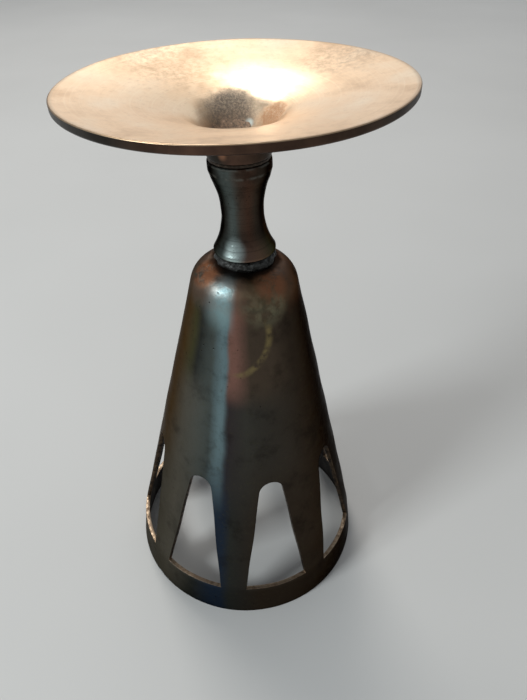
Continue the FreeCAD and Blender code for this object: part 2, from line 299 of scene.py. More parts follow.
ROWS = bell_rows()
BAND_ROWS = int(np.sum(ROWS[:, 1] <= BAND_HEIGHT + 1e-6))
print("%d rows, %d of them on the band" % (len(ROWS), BAND_ROWS))

# %% [markdown]
# ## Handwork on the bell
#
# The windows were sawn and filed by hand, so their edges wander by a tenth of a
# millimetre, no two alike, and the foot has worn uneven with one small nick. The sheet
# itself has shallow dents from spinning and use. All of it goes inwards, so that the
# piece never grows past its true size. Solidify then gives the sheet its thickness and
# hands the inner side and the sawn edges materials of their own, and a narrow Bevel
# breaks the edges as a file does.

# %% The bell's surface
EDGE_WANDER = 0.13              # of the windows' filed sides
DENT_DEPTH = 0.10
FLAT_DEPTH = 0.14               # of one flattened place, at an angle and a height
FLAT_ANGLE, FLAT_WIDTH = 2.1, 0.35
FLAT_HEIGHT, FLAT_TALL = 71, 9
SILL_WAVE, SILL_REACH = 0.09, 2.5
FOOT_WAVE, FOOT_REACH = 0.07, 1.2
NICK_DEPTH = 0.5
NICK_ANGLE, NICK_WIDTH = math.radians(-52), 0.035


def sawn_edges(height, seed):
    """How far each window's two sides wander, in mm, none at the sill or the top."""
    chance = np.random.default_rng(seed)
    along = np.clip((height - BAND_HEIGHT) / (ARCH_TOP - BAND_HEIGHT), 0, 1)
    phase = chance.uniform(0, math.tau, (WINDOWS, 1))
    return EDGE_WANDER * np.sin(math.pi * along) * np.sin(9 * along[None, :] + phase)


def worn_bell(angle, radius, height):
    """Bell points with dents, a wavy sill and a worn foot."""
    wall = np.clip((CROWN - height) / 12, 0, 1)
    dents = DENT_DEPTH * wall * (1 + 0.8 * waves(angle, height, 11))
    flat = FLAT_DEPTH * np.exp(-((angle % math.tau - FLAT_ANGLE) / FLAT_WIDTH) ** 2
                               - ((height - FLAT_HEIGHT) / FLAT_TALL) ** 2)
    sill = SILL_WAVE * np.exp(-((height - BAND_HEIGHT) / SILL_REACH) ** 2)
    foot = np.exp(-(height / FOOT_REACH) ** 2)
    around = (angle - NICK_ANGLE + math.pi) % math.tau - math.pi
    nick = NICK_DEPTH * np.exp(-(around / NICK_WIDTH) ** 2)
    rise = sill * np.sin(13 * angle + 1) + foot * (FOOT_WAVE * (1 + np.sin(5 * angle)) + nick)
    return points_of(angle, radius - dents - flat, height + rise)


def bell_surface():
    """Points and faces of the bell's outer side: eight ribs, then the band below each
    window. A rib's column at share s stands at window + edge + s * (45 deg - edges)."""
    radius, height = ROWS[:, 0], ROWS[:, 1]
    pitch = math.tau / WINDOWS
    middles = FIRST_WINDOW + pitch * np.arange(WINDOWS)[:, None]
    half = window_half(height)
    opening = np.where(half > 0, 1, 0)

    def edge(seed):
        return np.arcsin(np.clip((half + opening * sawn_edges(height, seed)) / radius, 0, 1))

    left_of_rib, right_of_rib = edge(3), np.roll(edge(4), -1, axis=0)
    left = (middles + left_of_rib)[:, :, None]
    right = (middles + pitch - right_of_rib)[:, :, None]
    share = np.linspace(0, 1, 25)[None, None, :]
    ribs = left + (right - left) * share

    sill_left = (middles - np.roll(right_of_rib, 1, axis=0)[:, :BAND_ROWS])[:, :, None]
    sill_right = (middles + left_of_rib[:, :BAND_ROWS])[:, :, None]
    bands = sill_left + (sill_right - sill_left) * np.linspace(0, 1, 19)[None, None, :]

    points, faces, first = [], [], 0
    for angles in (*ribs, *bands):
        rows, columns = angles.shape
        grid = worn_bell(angles, radius[:rows, None], height[:rows, None])
        hole_shift = np.interp(radius[:rows], [TENON_HOLE, SHOULDER_CORNER], [STEM_OFFSET, 0])
        grid[:, :, 0] += hole_shift[:, None]
        points.append(grid.reshape(-1, 3))
        faces.append(grid_faces(rows, columns, wrap_columns=False, first=first))
        first += rows * columns
    return on_bell(np.concatenate(points)), np.concatenate(faces)


bell = make_piece("bell_sheet", *bell_surface(), slot="bell_brass", sharp=30)
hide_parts("bell_base")

# %% Thickness and broken edges
EDGE_BREAK = 0.14

wall = bell.modifiers.new("sheet", "SOLIDIFY")
wall.thickness = SHEET * MM
wall.offset = -1
wall.use_even_offset = True
wall.material_offset = 1
wall.material_offset_rim = 2
broken_edge = bell.modifiers.new("filed_edges", "BEVEL")
broken_edge.width = EDGE_BREAK * MM
broken_edge.segments = 2
broken_edge.limit_method = "ANGLE"
broken_edge.angle_limit = math.radians(50)

# %% [markdown]
# ## The stem
#
# A turned baluster: a plain base, a foot with a crisp lower edge, a hollow waist and a
# flange, with a tenon at each end. The upper tenon is hammered over in the well like a
# rivet. The hollow is two arcs that stand upright where they meet at the waist: at
# height h above or below it, the radius is waist + R - sqrt(R^2 - h^2). The base ends
# level on the bell, so its lowest ring is slanted against the lean.

# %% The stem's outline and mesh
LOWER_END = -4                  # the lower tenon's end, below the crown
STEM_BASE = 6.2
STEM_HEIGHT = 26.2
FOOT_EDGE_LOW, FOOT_EDGE_TOP, FOOT_EDGE_RADIUS = 3.0, 3.7, 7.8
WAIST_HEIGHT, WAIST_RADIUS = 13.3, 5.15
SLOPE_HEIGHT, SLOPE_RADIUS = 21.9, 6.975
FLANGE_LOW, FLANGE_RADIUS = 23.8, 7.5
LOWER_TENON, UPPER_TENON = 3.0, 2.2
WELL_FLOOR = 29.0
RIVET_RADIUS, RIVET_TOP = 3.3, WELL_FLOOR + 0.9


def hollow(height, far_radius, far_height):
    """Radius of the arc that is upright at the waist and runs to the far point."""
    run, rise = far_radius - WAIST_RADIUS, far_height - WAIST_HEIGHT
    arc = (run ** 2 + rise ** 2) / (2 * run)
    return WAIST_RADIUS + arc - np.sqrt(arc ** 2 - (height - WAIST_HEIGHT) ** 2)


def stem_profile():
    """The whole outline of the stem, from the lower tenon's end to the rivet's top."""
    lower = rounded([(0, LOWER_END, 0), (LOWER_TENON, LOWER_END, 0.4), (LOWER_TENON, 0, 0),
                     (STEM_BASE, 0, 0), (STEM_BASE, FOOT_EDGE_LOW, 0),
                     (FOOT_EDGE_RADIUS, FOOT_EDGE_LOW, 0.2),
                     (FOOT_EDGE_RADIUS, FOOT_EDGE_TOP, 0)], 5)
    below = np.linspace(FOOT_EDGE_TOP, WAIST_HEIGHT, 26)[1:]
    above = np.linspace(WAIST_HEIGHT, SLOPE_HEIGHT, 24)[1:]
    low_arc = hollow(below, FOOT_EDGE_RADIUS, FOOT_EDGE_TOP)
    high_arc = hollow(above, SLOPE_RADIUS, SLOPE_HEIGHT)
    upper = rounded([(SLOPE_RADIUS, SLOPE_HEIGHT, 0), (FLANGE_RADIUS, FLANGE_LOW, 0.8),
                     (FLANGE_RADIUS, STEM_HEIGHT, 0.45), (UPPER_TENON, STEM_HEIGHT, 0),
                     (UPPER_TENON, WELL_FLOOR, 0), (RIVET_RADIUS, WELL_FLOOR, 0),
                     (RIVET_RADIUS, RIVET_TOP, 0.7), (0, RIVET_TOP, 0)], 7)
    return divided(np.vstack([lower, np.stack([low_arc, below], axis=1),
                              np.stack([high_arc, above], axis=1), upper[1:]]), 0.5)


def stem_surface(columns=144):
    """The outline turned round the stem's axis, with faint out-of-roundness."""
    profile = stem_profile()
    angle, radius, height = revolved(profile, columns)
    bare = np.clip((height - FOOT_EDGE_LOW) * (STEM_HEIGHT - height), 0, 1)
    radius = radius * (1 - 0.004 * bare * (1 + waves(angle, 4 * height, 21)))
    level = (np.abs(height) < 1e-6) & (radius > LOWER_TENON - 0.01)
    height = np.where(level, -radius * np.sin(angle) * math.tan(LEAN), height)
    return on_stem(points_of(angle, radius, height)), grid_faces(len(profile), columns)


stem = make_piece("turned_stem", *stem_surface(), slot="stem_brass", sharp=40)
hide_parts("stem")

# %% [markdown]
# ## The two joints
#
# The stem's base is brazed to the crown. The filler has run into an uneven bead with
# lumps and small hollows, too rough for a plain torus, so its section swells and shrinks
# round the ring. The section is an upright half oval, bulged in the middle and drawn in
# at the bottom, where a dark line is left. At the top, a thin fillet of soft solder
# closes the groove between the flange and the dish's hub.

# %% Braze bead
BEAD_HEIGHT = 2.6
BEAD_RADIUS = 7.3


def bead_surface(columns=220, arc=16):
    """Closed ring. At share t of its height, the outside stands at
    base + bulge * sin(pi * (0.22 + 0.72 t)), and the lumps scale the bulge."""
    angle = np.linspace(0, math.tau, columns, endpoint=False)[None, :]
    share = np.linspace(0, 1, arc)[:, None]
    lumps = (0.34 * waves(2 * angle, 9 * share, 31) + 0.20 * waves(4 * angle, 30 * share, 33)
             + 0.10 * waves(9 * angle, 60 * share, 34))
    bulge = (BEAD_RADIUS - STEM_BASE) * (1.30 + 0.60 * lumps)
    outside = STEM_BASE + bulge * np.sin(math.pi * (0.22 + 0.72 * share))
    top = BEAD_HEIGHT * (0.93 + 0.14 * waves(3 * angle, 0, 32))
    height = top * share
    radius = np.concatenate([np.full((1, columns), STEM_BASE), outside,
                             np.full((1, columns), STEM_BASE)])
    height = np.concatenate([0 * top, height, top])
    angle = np.repeat(angle, len(radius), axis=0)
    level = -radius * np.sin(angle) * math.tan(LEAN)
    height = height + level * np.clip(1 - height / BEAD_HEIGHT, 0, 1)
    faces = grid_faces(len(radius), columns, wrap_rows=True)
    return on_stem(points_of(angle, radius, height)), faces


bead = make_piece("braze_bead", *bead_surface(), slot="braze", sharp=50)
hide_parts("foot_braze_bead")

# %% Solder ring
HUB_BASE = STEM_HEIGHT + 0.6
SOLDER_RADIUS = 7.32


def solder_surface(columns=144):
    """Closed thin ring whose outer edge bulges a little and wanders."""
    profile = divided(np.array([
        (UPPER_TENON, STEM_HEIGHT), (SOLDER_RADIUS - 0.1, STEM_HEIGHT),
        (SOLDER_RADIUS, (STEM_HEIGHT + HUB_BASE) / 2), (SOLDER_RADIUS - 0.1, HUB_BASE),
        (UPPER_TENON, HUB_BASE)]), 1.5)
    angle, radius, height = revolved(profile, columns)
    rim = np.clip(radius - SOLDER_RADIUS + 0.5, 0, 1)
    radius = radius + 0.12 * rim * waves(3 * angle, height, 41)
    faces = grid_faces(len(profile), columns, wrap_rows=True)
    return on_stem(points_of(angle, radius, height)), faces


solder = make_piece("solder_ring", *solder_surface(), slot="solder", sharp=60)
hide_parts("neck_solder_ring")

# %% [markdown]
# ## The dish
#
# One spun piece: a funnel that steepens into a deep round well, whose outside is the
# hub on the stem. Its closed outline is turned once round. The scoured top and the dark
# underside are one piece of metal with two finishes, so each point carries a mark, 1 on
# the scoured side and 0 below the rim's corner, which the material reads. Spinning
# leaves the rim a little wavy, always downwards and inwards here.

# %% The dish's outline and mesh
DISH_DEPTH, FUNNEL_DEPTH, BRINK_DEPTH = 16.0, 3.9, 7.6
RIM = HUB_BASE + DISH_DEPTH
LIP = 2.0
FUNNEL_RADIUS, FUNNEL = 19.0, RIM - FUNNEL_DEPTH
BRINK_RADIUS, BRINK = 9.0, RIM - BRINK_DEPTH
WELL_RADIUS = 5.6
HUB_RADIUS, HUB_TOP = 7.5, HUB_BASE + 4.0
DISH_WALL = 1.6
TENON_GAP = UPPER_TENON + 0.1
SCOURED = 0.35                  # the scoured finish ends this far below the rim
RIM_DIP, RIM_PINCH = 0.09, 0.06
TOP_RIPPLE, RIPPLE_SINK = 0.02, 4.5  # the sink keeps every ripple below the true top


def dish_profiles():
    """Outline of the underside, from the tenon to the rim, and of the top, back again."""
    outline = rounded([
        (TENON_GAP, HUB_BASE, 0), (HUB_RADIUS, HUB_BASE, 0.5), (HUB_RADIUS, HUB_TOP, 5.0),
        (BRINK_RADIUS + DISH_WALL, BRINK - DISH_WALL, 10.0),
        (FUNNEL_RADIUS, FUNNEL - DISH_WALL, 40.0),
        (DISH_RADIUS, RIM - LIP, 0.6), (DISH_RADIUS, RIM, 0.3),
        (FUNNEL_RADIUS, FUNNEL, 80.0), (BRINK_RADIUS, BRINK, 11.0),
        (WELL_RADIUS, WELL_FLOOR, 2.0),
        (TENON_GAP, WELL_FLOOR, 0)], 12)
    return divided(outline, 0.55)


def dish_surface(columns=288):
    """The closed outline turned round, with a rim that dips and top that ripples."""
    profile = dish_profiles()
    angle, radius, height = revolved(profile, columns)
    out = np.clip((radius - BRINK_RADIUS) / (DISH_RADIUS - BRINK_RADIUS), 0, 1)
    dip = RIM_DIP * out ** 2 * (1 + waves(angle, 0 * radius, 51))
    pinch = RIM_PINCH * out ** 2 * (1 + waves(angle, 0 * radius, 52))
    along = np.arange(len(profile))
    rim_corner = along[(profile[:, 0] > DISH_RADIUS - 1) & (profile[:, 1] > RIM - SCOURED)][0]
    scoured = np.repeat(np.clip(along - rim_corner, 0, 1)[:, None], columns, axis=1)
    ripple = TOP_RIPPLE * scoured * out * (waves(angle, 3 * radius, 53) - RIPPLE_SINK)
    points = on_stem(points_of(angle, radius - pinch, height - dip + ripple))
    faces = grid_faces(len(profile), columns, wrap_rows=True)
    return points, faces, {"scoured": scoured}


dish_points, dish_faces, dish_marks = dish_surface()
dish = make_piece("spun_dish", dish_points, dish_faces, "dish_brass", 40, dish_marks)
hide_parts("dish")

# %% [markdown]
# ## Burnt resin in the well
#
# Incense leaves a thin crust on the well's floor and creeping up one side. It is a real
# layer with grains in it, so it is a closed lens of its own: an upper side that stands
# off the metal by a random thickness, and a lower side just inside the metal. Both are
# the well's own profile, read at a radius that a wandering outline scales.

# %% Crust
CRUST_SIDE = math.radians(-155)  # the side of the well that it creeps up
CRUST_RADIUS, CRUST_CREEP, CRUST_WANDER = 5.2, 2.2, 0.55
CRUST_THIN, CRUST_BODY, CRUST_GRAIN = 0.05, 0.16, 0.12
CRUST_SUNK = 0.06               # its lower side lies this far inside the metal


def well_height(radius):
    """Height of the well's surface at a radius, read off the dish's outline."""
    outline = dish_profiles()
    start = int(np.argmax(outline[:, 0]))
    top = outline[start:][::-1]
    return np.interp(radius, top[:, 0], top[:, 1])


def crust_surface(columns=260, rows=70):
    """Two grids of polar points, share 0 at the axis to 1 at the outline, joined at the
    border. Thickness is a bell of share plus grain, and 0 at the border."""
    angle = np.linspace(0, math.tau, columns, endpoint=False)[None, :]
    share = np.linspace(0, 1, rows)[:, None]
    creep = 0.5 + 0.5 * np.cos(angle - CRUST_SIDE)
    outline = CRUST_RADIUS + CRUST_CREEP * creep ** 2 + CRUST_WANDER * waves(3 * angle, 0, 61)
    radius = share * outline
    chance = np.random.default_rng(62)
    grain = chance.uniform(0, 1, (rows, columns)) ** 3
    body = np.clip(1 - share ** 6, 0, 1) * (0.5 + 0.5 * waves(3 * angle, 9 * radius, 63))
    thickness = CRUST_THIN + CRUST_BODY * np.clip(body, 0, 1) + CRUST_GRAIN * grain
    thickness = thickness * (1 - share ** 8)
    metal = well_height(radius)
    rivet = RIVET_TOP - 0.25 * (radius / RIVET_RADIUS) ** 4
    metal = np.where(radius < RIVET_RADIUS, np.maximum(metal, rivet), metal)
    upper = points_of(angle, radius, metal + thickness)
    lower = points_of(angle, radius, metal - CRUST_SUNK)[::-1]
    points = np.concatenate([upper[::-1], lower[::-1][1:]])
    return on_stem(points), grid_faces(len(points), columns)[:, ::-1]


crust = make_piece("ash_crust", *crust_surface(), slot="dish_brass", sharp=80)

# %% [markdown]
# ## Shader helpers
#
# Every finish is a node tree that reads Object coordinates. A Mapping node first turns
# them into millimetres on the piece's own axis, with the front at the middle of a radial
# gradient, so a pattern can be placed by angle and height as on a turned piece. The
# helpers below each add one node, which keeps the recipes short enough to read.

# %% Node helpers


def new_finish(name):
    """An empty material with one Principled shader. Returns (material, tree, shader)."""
    material = bpy.data.materials.new(name)
    material.use_nodes = True
    tree = material.node_tree
    tree.nodes.clear()
    shader = tree.nodes.new("ShaderNodeBsdfPrincipled")
    output = tree.nodes.new("ShaderNodeOutputMaterial")
    tree.links.new(shader.outputs["BSDF"], output.inputs["Surface"])
    return material, tree, shader


def add(tree, kind, sockets, **settings):
    """One node. settings are its own properties and sockets its inputs, by name or
    number, each a value or another node's output."""
    made = tree.nodes.new("ShaderNode" + kind)
    for setting, value in settings.items():
        setattr(made, setting, value)
    for socket, value in sockets.items():
        if isinstance(value, bpy.types.NodeSocket):
            tree.links.new(value, made.inputs[socket])
        else:
            made.inputs[socket].default_value = value
    return made


def maths(tree, operation, *values):
    """One Math node's output."""
    return add(tree, "Math", dict(enumerate(values)), operation=operation).outputs[0]


def times(tree, first, second):
    """Two values multiplied, such as a mask and its strength."""
    return maths(tree, "MULTIPLY", first, second)


def step(tree, value, low, high, start=0.0, finish=1.0):
    """Smooth step from start to finish as the value goes from low to high."""
    return add(tree, "MapRange", {"Value": value, "From Min": low, "From Max": high,
                                  "To Min": start, "To Max": finish},
               interpolation_type="SMOOTHSTEP").outputs["Result"]


def tint(tree, factor, under, over):
    """over, a colour or another node's output, laid on under by factor."""
    if isinstance(over, tuple):
        over = (*over, 1)
    return add(tree, "Mix", {0: factor, 6: under, 7: over}, data_type="RGBA").outputs[2]


def noise(tree, place, scale, detail=4.0, roughness=0.55):
    """Noise between 0 and 1 at so many features a millimetre."""
    return add(tree, "TexNoise", {"Vector": place, "Scale": scale, "Detail": detail,
                                  "Roughness": roughness}).outputs["Fac"]


def ramp(tree, factor, stops):
    """Colour ramp. Each stop is (position, (red, green, blue))."""
    made = add(tree, "ValToRGB", {"Fac": factor})
    elements = made.color_ramp.elements
    elements.remove(elements[1])
    for number, (position, colour) in enumerate(stops):
        element = elements[0] if number == 0 else elements.new(position)
        element.position = position
        element.color = (*colour, 1)
    return made.outputs["Color"]


def on_axis(tree, leaning):
    """Millimetres on the bell's or the stem's axis, with +X towards the front."""
    turned = Matrix.Rotation(-math.pi / 2, 3, "Z")
    origin = (BELL_X * MM, 0, 0)
    if leaning:
        turned = Matrix.Rotation(-LEAN, 3, "Y") @ turned
        origin = (STEM_X * MM, 0, CROWN * MM)
    place = add(tree, "TexCoord", {}).outputs["Object"]
    return add(tree, "Mapping", {"Vector": place, "Location": origin,
                                 "Rotation": turned.to_euler(), "Scale": (MM, MM, MM)},
               vector_type="TEXTURE").outputs["Vector"]


def stirred(tree, place, scale, reach):
    """The place moved about by noise, up to about half of reach each way."""
    stir = add(tree, "TexNoise", {"Vector": place, "Scale": scale, "Detail": 3.0})
    centred = add(tree, "VectorMath", {0: stir.outputs["Color"], 1: (0.5, 0.5, 0.5)},
                  operation="SUBTRACT").outputs[0]
    moved = add(tree, "VectorMath", {0: centred, 1: (reach, reach, reach)},
                operation="MULTIPLY").outputs[0]
    return add(tree, "VectorMath", {0: place, 1: moved}, operation="ADD").outputs[0]


def around(tree, place):
    """Turns round the axis, 0 at the back, 0.5 at the front and growing towards +X."""
    return add(tree, "TexGradient", {"Vector": place}, gradient_type="RADIAL").outputs["Fac"]


def at(degrees):
    """Where an angle from the front, in degrees, lies on that scale of turns."""
    return 0.5 + degrees / 360


def near(tree, place, centre, low, high, stretch=(1, 1, 1)):
    """1 within low of a centre and 0 beyond high, in millimetres over stretch."""
    offset = add(tree, "VectorMath", {0: place, 1: centre}, operation="SUBTRACT").outputs[0]
    scaled = add(tree, "VectorMath", {0: offset, 1: stretch}, operation="MULTIPLY").outputs[0]
    far = add(tree, "VectorMath", {0: scaled}, operation="LENGTH").outputs["Value"]
    return step(tree, far, low, high, 1.0, 0.0)


def bump(tree, height, depth, under=None):
    """A Bump node: height 0 to 1 stands for depth millimetres."""
    sockets = {"Height": height, "Distance": depth * MM, "Strength": 1.0}
    if under:
        sockets["Normal"] = under
    return add(tree, "Bump", sockets).outputs["Normal"]


def pits(tree, place, scale, share):
    """1 in small round pits: the middles of a few cells of a Voronoi pattern."""
    cells = add(tree, "TexVoronoi", {"Vector": place, "Scale": scale})
    middle = step(tree, cells.outputs["Distance"], 0.05, 0.15, 1.0, 0.0)
    picked = maths(tree, "LESS_THAN", add(
        tree, "SeparateColor", {0: cells.outputs["Color"]}).outputs["Red"], share)
    return times(tree, middle, picked)


def height_of(tree, place):
    """Height along the axis."""
    return add(tree, "SeparateXYZ", {0: place}).outputs["Z"]


def from_axis(tree, place):
    """Distance from the axis."""
    across = add(tree, "VectorMath", {0: place, 1: (1, 1, 0)}, operation="MULTIPLY").outputs[0]
    return add(tree, "VectorMath", {0: across}, operation="LENGTH").outputs["Value"]


def round_lines(tree, place, scale):
    """Brush or tool marks that run round the axis: noise read by radius and height."""
    along = maths(tree, "ADD", from_axis(tree, place), height_of(tree, place))
    return add(tree, "TexNoise", {"W": along, "Scale": scale, "Detail": 5.0},
               noise_dimensions="1D").outputs["Fac"]


# %% [markdown]
# ## The bell's finish
#
# The bell was heated when it was brazed, and its surface carries the colours of that
# heat: deep blue low on one flank, amber, olive and dark brown elsewhere, and coppery
# scale on the shoulder. On the front-left flank, a grey-teal band and a plum streak are
# partly heat tint and partly painted reflection, and the blue-cyan streak between them is
# painted reflection. The colours run down the cone, so four colour ramps are read by
# angle, for the lower, middle and upper cone and for the shoulder, and mixed by height.
# Noise stirs the coordinates so that no border is straight. Dust, a painted highlight,
# rubbed metal, scale, one curved scratch, a dark ring round the joint that is partly old
# flux and partly painted shade, and a few pits are laid on in turn.

# %% Colours
NEAR_BLACK = (0.017, 0.013, 0.011)
DARK_BROWN = (0.046, 0.034, 0.025)
WARM_BROWN = (0.092, 0.068, 0.049)
GREY_BROWN = (0.060, 0.058, 0.050)
DUSTY = (0.120, 0.110, 0.090)
AMBER = (0.128, 0.086, 0.052)
# Grey-teal and plum are partly heat tint and partly painted reflection, and blue-cyan is painted
# reflection.
GREY_TEAL_TINT_AND_REFLECTION = (0.074, 0.088, 0.083)
COOL_GREY = (0.036, 0.038, 0.035)
BLUE_CYAN_REFLECTION = (0.160, 0.235, 0.255)
DEEP_BLUE = (0.023, 0.034, 0.054)
PLUM_TINT_AND_REFLECTION = (0.26, 0.135, 0.106)
PURPLE_GREY = (0.046, 0.038, 0.040)
OLIVE = (0.078, 0.074, 0.040)
PALE_GREEN = (0.205, 0.195, 0.125)
COPPER_SCALE = (0.29, 0.130, 0.070)
PALE_GOLD = (0.27, 0.21, 0.095)
SOOT = (0.012, 0.010, 0.009)
DUST_FILM = (0.165, 0.140, 0.125)
PAINTED_HIGHLIGHT_BLUE = (0.34, 0.52, 0.54)
RUBBED_BRASS = (0.22, 0.19, 0.15)
FILED_DARK, FILED_BRASS, FILED_PALE = (0.16, 0.105, 0.068), (0.36, 0.27, 0.19), (0.48, 0.38, 0.28)
DARK_EDGE = (0.30, 0.30, 0.30)      # what a tarnished metal reflects at a grazing look

# %% Places of the marks on the bell
# Each place is (towards the front, towards +X, up), in millimetres on the bell's axis.
LOWER_TO_MIDDLE, MIDDLE_TO_UPPER, UPPER_TO_SHOULDER = (34, 66), (71, 84), (98, 103.5)
DUST_FREE_PLACE = (10, 0, 105)
PAINTED_HIGHLIGHT_PLACE = (9.9, -3.4, 99.5)
RUBBED_PLACE = (3, -8.5, 105)
PALE_PLACE = (12.5, 5, 102)
LEFT_SCALE, RIGHT_SCALE = (4.5, -9.5, 106.3), (9.0, 6.3, 105.2)
SCRATCH_CENTRE, SCRATCH_RADIUS = (0, -4.5, 93.5), 10.4
SCRATCH_PLACE = (17.5, 4.5, 89)

# %% Outside of the bell


def heat_tints(tree, place):
    """Colour of the bell by angle, with its own ramp for each of four heights."""
    turns = around(tree, stirred(tree, place, 0.09, 2.0))
    # The blue-cyan stops are painted reflection; the grey-teal and plum stops beside them are
    # partly heat tint and partly painted reflection.
    upper = ramp(tree, turns, [
        (0.0, OLIVE), (at(-140), DARK_BROWN), (at(-105), AMBER), (at(-66), AMBER),
        (at(-52), OLIVE), (at(-44), COOL_GREY), (at(-29), GREY_TEAL_TINT_AND_REFLECTION), (at(-20), BLUE_CYAN_REFLECTION),
        (at(-16.4), BLUE_CYAN_REFLECTION), (at(-13.8), PLUM_TINT_AND_REFLECTION), (at(-8), PLUM_TINT_AND_REFLECTION), (at(4), WARM_BROWN),
        (at(22), WARM_BROWN), (at(42), DARK_BROWN), (at(75), DARK_BROWN),
        (at(120), DARK_BROWN), (at(150), AMBER), (1.0, OLIVE)])
    middle = ramp(tree, turns, [
        (0.0, DARK_BROWN), (at(-110), AMBER), (at(-70), AMBER), (at(-52), DUSTY),
        (at(-27), GREY_TEAL_TINT_AND_REFLECTION), (at(-20), BLUE_CYAN_REFLECTION), (at(-17), BLUE_CYAN_REFLECTION),
        (at(-13.5), PURPLE_GREY), (at(0), GREY_BROWN), (at(45), DARK_BROWN),
        (at(68), DARK_BROWN), (at(115), PURPLE_GREY), (at(150), OLIVE), (1.0, DARK_BROWN)])
    lower = ramp(tree, turns, [
        (0.0, DARK_BROWN), (at(-150), PURPLE_GREY), (at(-100), AMBER),
        (at(-66), DUSTY), (at(-48), DUSTY), (at(-30), COOL_GREY), (at(-19), DEEP_BLUE),
        (at(-14), DEEP_BLUE), (at(-10), COOL_GREY), (at(6), DARK_BROWN),
        (at(70), DARK_BROWN), (at(120), PURPLE_GREY), (at(160), DARK_BROWN),
        (1.0, DARK_BROWN)])
    height = height_of(tree, stirred(tree, place, 0.05, 14))
    shoulder = ramp(tree, turns, [
        (0.0, OLIVE), (at(-140), DARK_BROWN), (at(-66), DUSTY), (at(-42), GREY_TEAL_TINT_AND_REFLECTION),
        (at(-24), BLUE_CYAN_REFLECTION), (at(-8), DUSTY), (at(12), OLIVE), (at(60), WARM_BROWN),
        (at(120), DARK_BROWN), (at(150), AMBER), (1.0, OLIVE)])
    body = tint(tree, step(tree, height, *MIDDLE_TO_UPPER), middle, upper)
    body = tint(tree, step(tree, height, *UPPER_TO_SHOULDER), body, shoulder)
    return tint(tree, step(tree, height, *LOWER_TO_MIDDLE), lower, body)


def bell_finish():
    """Heat-tinted brass with scale, pits, a smeared scratch and fine grain."""
    material, tree, shader = new_finish("heat_tinted_brass")
    place = on_axis(tree, leaning=False)
    height = height_of(tree, place)
    colour = heat_tints(tree, place)

    cloud = noise(tree, place, 0.16, 6, 0.62)
    colour = tint(tree, step(tree, cloud, 0.50, 0.74, 0, 0.40), colour, NEAR_BLACK)
    mottle = noise(tree, place, 0.9, 5, 0.65)
    colour = tint(tree, step(tree, mottle, 0.50, 0.78, 0, 0.30), colour, OLIVE)
    flecked = step(tree, noise(tree, place, 1.7, 4, 0.7), 0.60, 0.72, 0, 0.35)
    colour = tint(tree, flecked, colour, WARM_BROWN)

    dust_free = near(tree, place, DUST_FREE_PLACE, 4, 9)
    dust = times(tree, step(tree, height, 104.5, 107, 0, 0.6),
                 maths(tree, "SUBTRACT", 1.0, dust_free))
    colour = tint(tree, dust, colour, DUST_FILM)

    # A painted highlight: a pale blue patch on the front-left of the shoulder.
    painted_highlight = near(tree, place, PAINTED_HIGHLIGHT_PLACE, 1.5, 8.0, (1, 1, 0.8))
    painted_highlight = times(tree, painted_highlight, step(
        tree, around(tree, place), at(-7), at(-18), 0, 0.85))
    colour = tint(tree, painted_highlight, colour, PAINTED_HIGHLIGHT_BLUE)
    rubbed = near(tree, place, RUBBED_PLACE, 3.0, 7.5)
    rubbed = times(tree, rubbed, step(tree, mottle, 0.35, 0.6, 0.25, 0.75))
    colour = tint(tree, rubbed, colour, RUBBED_BRASS)

    high = step(tree, height, 95, 105)
    pale = times(tree, near(tree, place, PALE_PLACE, 3.0, 8.0),
                 step(tree, noise(tree, place, 0.35, 4), 0.36, 0.60, 0.2, 0.9))
    colour = tint(tree, pale, colour, PALE_GREEN)
    blotch = noise(tree, stirred(tree, place, 0.3, 3), 0.20, 6, 0.68)
    left_scale = near(tree, place, LEFT_SCALE, 2.5, 6.5)
    right_scale = near(tree, place, RIGHT_SCALE, 2.0, 7.0)
    scale_spots = maths(tree, "MAXIMUM", maths(tree, "MAXIMUM", left_scale, right_scale),
                        times(tree, high, 0.30))
    scale_mask = times(tree, scale_spots, step(tree, blotch, 0.32, 0.55))
    colour = tint(tree, scale_mask, colour, COPPER_SCALE)

    bow = near(tree, place, SCRATCH_CENTRE, SCRATCH_RADIUS, 11.9, (0, 1, 1))
    bow_inside = near(tree, place, SCRATCH_CENTRE, 9.2, SCRATCH_RADIUS, (0, 1, 1))
    arc = maths(tree, "SUBTRACT", bow, bow_inside)
    spot = near(tree, place, SCRATCH_PLACE, 7.0, 10.5)
    broken = step(tree, noise(tree, place, 0.5, 4), 0.30, 0.62)
    scratch = times(tree, times(tree, arc, spot), broken)
    colour = tint(tree, times(tree, scratch, 0.85), colour, PALE_GOLD)

    # A dark ring round the joint on the crown: partly old flux and partly painted shade.
    flux_and_shade = near(tree, stirred(tree, place, 0.35, 2.2), (0, STEM_OFFSET, CROWN), 8.2, 9.9, (1, 1, 0))
    colour = tint(tree, times(tree, flux_and_shade, 0.85), colour, SOOT)

    pitted = times(tree, pits(tree, place, 0.55, 0.16),
                   step(tree, noise(tree, place, 0.06), 0.45, 0.60))
    colour = tint(tree, pitted, colour, SOOT)
    tree.links.new(colour, shader.inputs["Base Color"])

    shader.inputs["Metallic"].default_value = 1.0
    shader.inputs["Specular Tint"].default_value = DARK_EDGE + (1,)
    worn = step(tree, cloud, 0.35, 0.70, 0.30, 0.46)
    rough = maths(tree, "ADD", worn, times(tree, scale_mask, 0.22))
    tree.links.new(maths(tree, "ADD", rough, step(tree, mottle, 0.3, 0.8, 0, 0.08)),
                   shader.inputs["Roughness"])
    grain = bump(tree, noise(tree, place, 3.2, 4, 0.6), 0.018)
    lumps = bump(tree, noise(tree, place, 0.35, 4, 0.5), 0.09, grain)
    relief = bump(tree, maths(tree, "SUBTRACT", scale_mask, pitted), 0.10, lumps)
    tree.links.new(relief, shader.inputs["Normal"])
    return material


